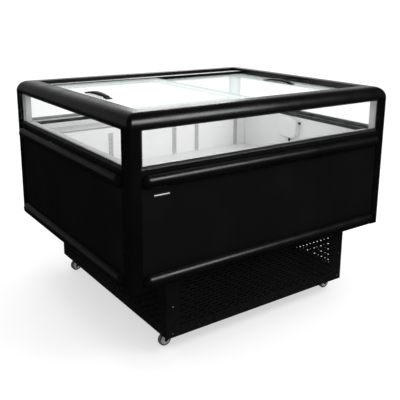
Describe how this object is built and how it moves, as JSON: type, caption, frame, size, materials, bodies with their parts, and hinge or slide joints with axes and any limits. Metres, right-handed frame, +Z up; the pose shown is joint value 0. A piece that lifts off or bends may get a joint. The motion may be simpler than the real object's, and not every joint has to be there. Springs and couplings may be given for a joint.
{
  "type": "chest freezer",
  "caption": "Island display chest freezer: glazed insulated tub with sliding glass lids and bumper rails, on a slotted plinth with swivel casters.",
  "frame": {"origin": "on the floor below the middle of the freezer", "axes": "+X along the long front side to the right, -Y out of the front, +Z up"},
  "size_m": [1.27, 1.06, 0.9],
  "materials": {
    "frame_black": "satin",
    "panel_paint": "satin",
    "plinth_paint": "satin",
    "bumper": "satin",
    "badge": "satin",
    "galvanised": "satin",
    "zinc": "satin",
    "compressor_black": "satin",
    "coil_metal": "satin",
    "fan_plastic": "matte",
    "light_trim": "satin",
    "liner_white": "satin",
    "foam": "matte",
    "spacer_bar": "satin",
    "socket": "matte",
    "upright_grey": "satin",
    "glass": "gloss",
    "lid_glass": "gloss",
    "lid_strip": "satin",
    "handle": "satin",
    "tyre": "matte"
  },
  "bodies": {
    "cabinet": {"badge_plate": "badge", "base_pan": "galvanised", "breaker_frame": "frame_black", "bumper_caps": "bumper", "bumper_rails": "bumper", "caster_plates": "zinc", "compressor": "compressor_black", "condenser": "coil_metal", "condenser_fan_frame": "galvanised", "corner_castings": "frame_black", "corner_post_front_left": "frame_black", "corner_post_front_right": "frame_black", "corner_post_rear_left": "frame_black", "corner_post_rear_right": "frame_black", "corner_trims": "light_trim", "duct_panels": "liner_white", "evaporator": "coil_metal", "evaporator_fan_frame": "galvanised", "floor_trays": "liner_white", "foam_core": "foam", "glazing_spacers": "spacer_bar", "grille_front": "plinth_paint", "grille_left": "plinth_paint", "grille_rear": "plinth_paint", "grille_right": "plinth_paint", "lid_tracks": "frame_black", "liner": "liner_white", "panel_front": "panel_paint", "panel_left": "panel_paint", "panel_rear": "panel_paint", "panel_right": "panel_paint", "plinth_base_plate": "plinth_paint", "plinth_frame": "plinth_paint", "power_inlet": "socket", "side_glass_front": "glass", "side_glass_left": "glass", "side_glass_rear": "glass", "side_glass_right": "glass", "top_rail_front": "frame_black", "top_rail_left": "frame_black", "top_rail_rear": "frame_black", "top_rail_right": "frame_black", "wall_pod": "liner_white", "wall_uprights": "upright_grey"},
    "lid_left": {"lid_glass_left": "lid_glass", "lid_handle_left": "handle", "lid_strips_left": "lid_strip"},
    "lid_right": {"lid_glass_right": "lid_glass", "lid_handle_right": "handle", "lid_strips_right": "lid_strip"},
    "swivel_front_left": {"caster_fork_front_left": "zinc"},
    "wheel_front_left": {"caster_wheel_front_left": "tyre"},
    "swivel_front_right": {"caster_fork_front_right": "zinc"},
    "wheel_front_right": {"caster_wheel_front_right": "tyre"},
    "swivel_rear_left": {"caster_fork_rear_left": "zinc"},
    "wheel_rear_left": {"caster_wheel_rear_left": "tyre"},
    "swivel_rear_right": {"caster_fork_rear_right": "zinc"},
    "wheel_rear_right": {"caster_wheel_rear_right": "tyre"},
    "condenser_rotor": {"condenser_fan_rotor": "fan_plastic"},
    "evaporator_rotor": {"evaporator_fan_rotor": "fan_plastic"}
  },
  "joints": [
    {"name": "lid_left_slide", "type": "slide", "parent": "cabinet", "child": "lid_left", "axis": [1, 0, 0], "range_m": [0, 0.425]},
    {"name": "lid_right_slide", "type": "slide", "parent": "cabinet", "child": "lid_right", "axis": [1, 0, 0], "range_m": [-0.425, 0]},
    {"name": "swivel_front_left", "type": "hinge", "parent": "cabinet", "child": "swivel_front_left", "pos_m": [-0.4, -0.395, 0.058], "axis": [0, 0, 1], "continuous": true},
    {"name": "roll_front_left", "type": "hinge", "parent": "swivel_front_left", "child": "wheel_front_left", "pos_m": [-0.418, -0.395, 0.025], "axis": [0, 1, 0], "continuous": true},
    {"name": "swivel_front_right", "type": "hinge", "parent": "cabinet", "child": "swivel_front_right", "pos_m": [0.4, -0.395, 0.058], "axis": [0, 0, 1], "continuous": true},
    {"name": "roll_front_right", "type": "hinge", "parent": "swivel_front_right", "child": "wheel_front_right", "pos_m": [0.418, -0.395, 0.025], "axis": [0, 1, 0], "continuous": true},
    {"name": "swivel_rear_left", "type": "hinge", "parent": "cabinet", "child": "swivel_rear_left", "pos_m": [-0.4, 0.395, 0.058], "axis": [0, 0, 1], "continuous": true},
    {"name": "roll_rear_left", "type": "hinge", "parent": "swivel_rear_left", "child": "wheel_rear_left", "pos_m": [-0.418, 0.395, 0.025], "axis": [0, 1, 0], "continuous": true},
    {"name": "swivel_rear_right", "type": "hinge", "parent": "cabinet", "child": "swivel_rear_right", "pos_m": [0.4, 0.395, 0.058], "axis": [0, 0, 1], "continuous": true},
    {"name": "roll_rear_right", "type": "hinge", "parent": "swivel_rear_right", "child": "wheel_rear_right", "pos_m": [0.418, 0.395, 0.025], "axis": [0, 1, 0], "continuous": true},
    {"name": "condenser_fan_spin", "type": "hinge", "parent": "cabinet", "child": "condenser_rotor", "pos_m": [-0.23, -0.06, 0.167], "axis": [1, 0, 0], "continuous": true},
    {"name": "evaporator_fan_spin", "type": "hinge", "parent": "cabinet", "child": "evaporator_rotor", "pos_m": [-0.33, 0, 0.423], "axis": [1, 0, 0], "continuous": true}
  ]
}
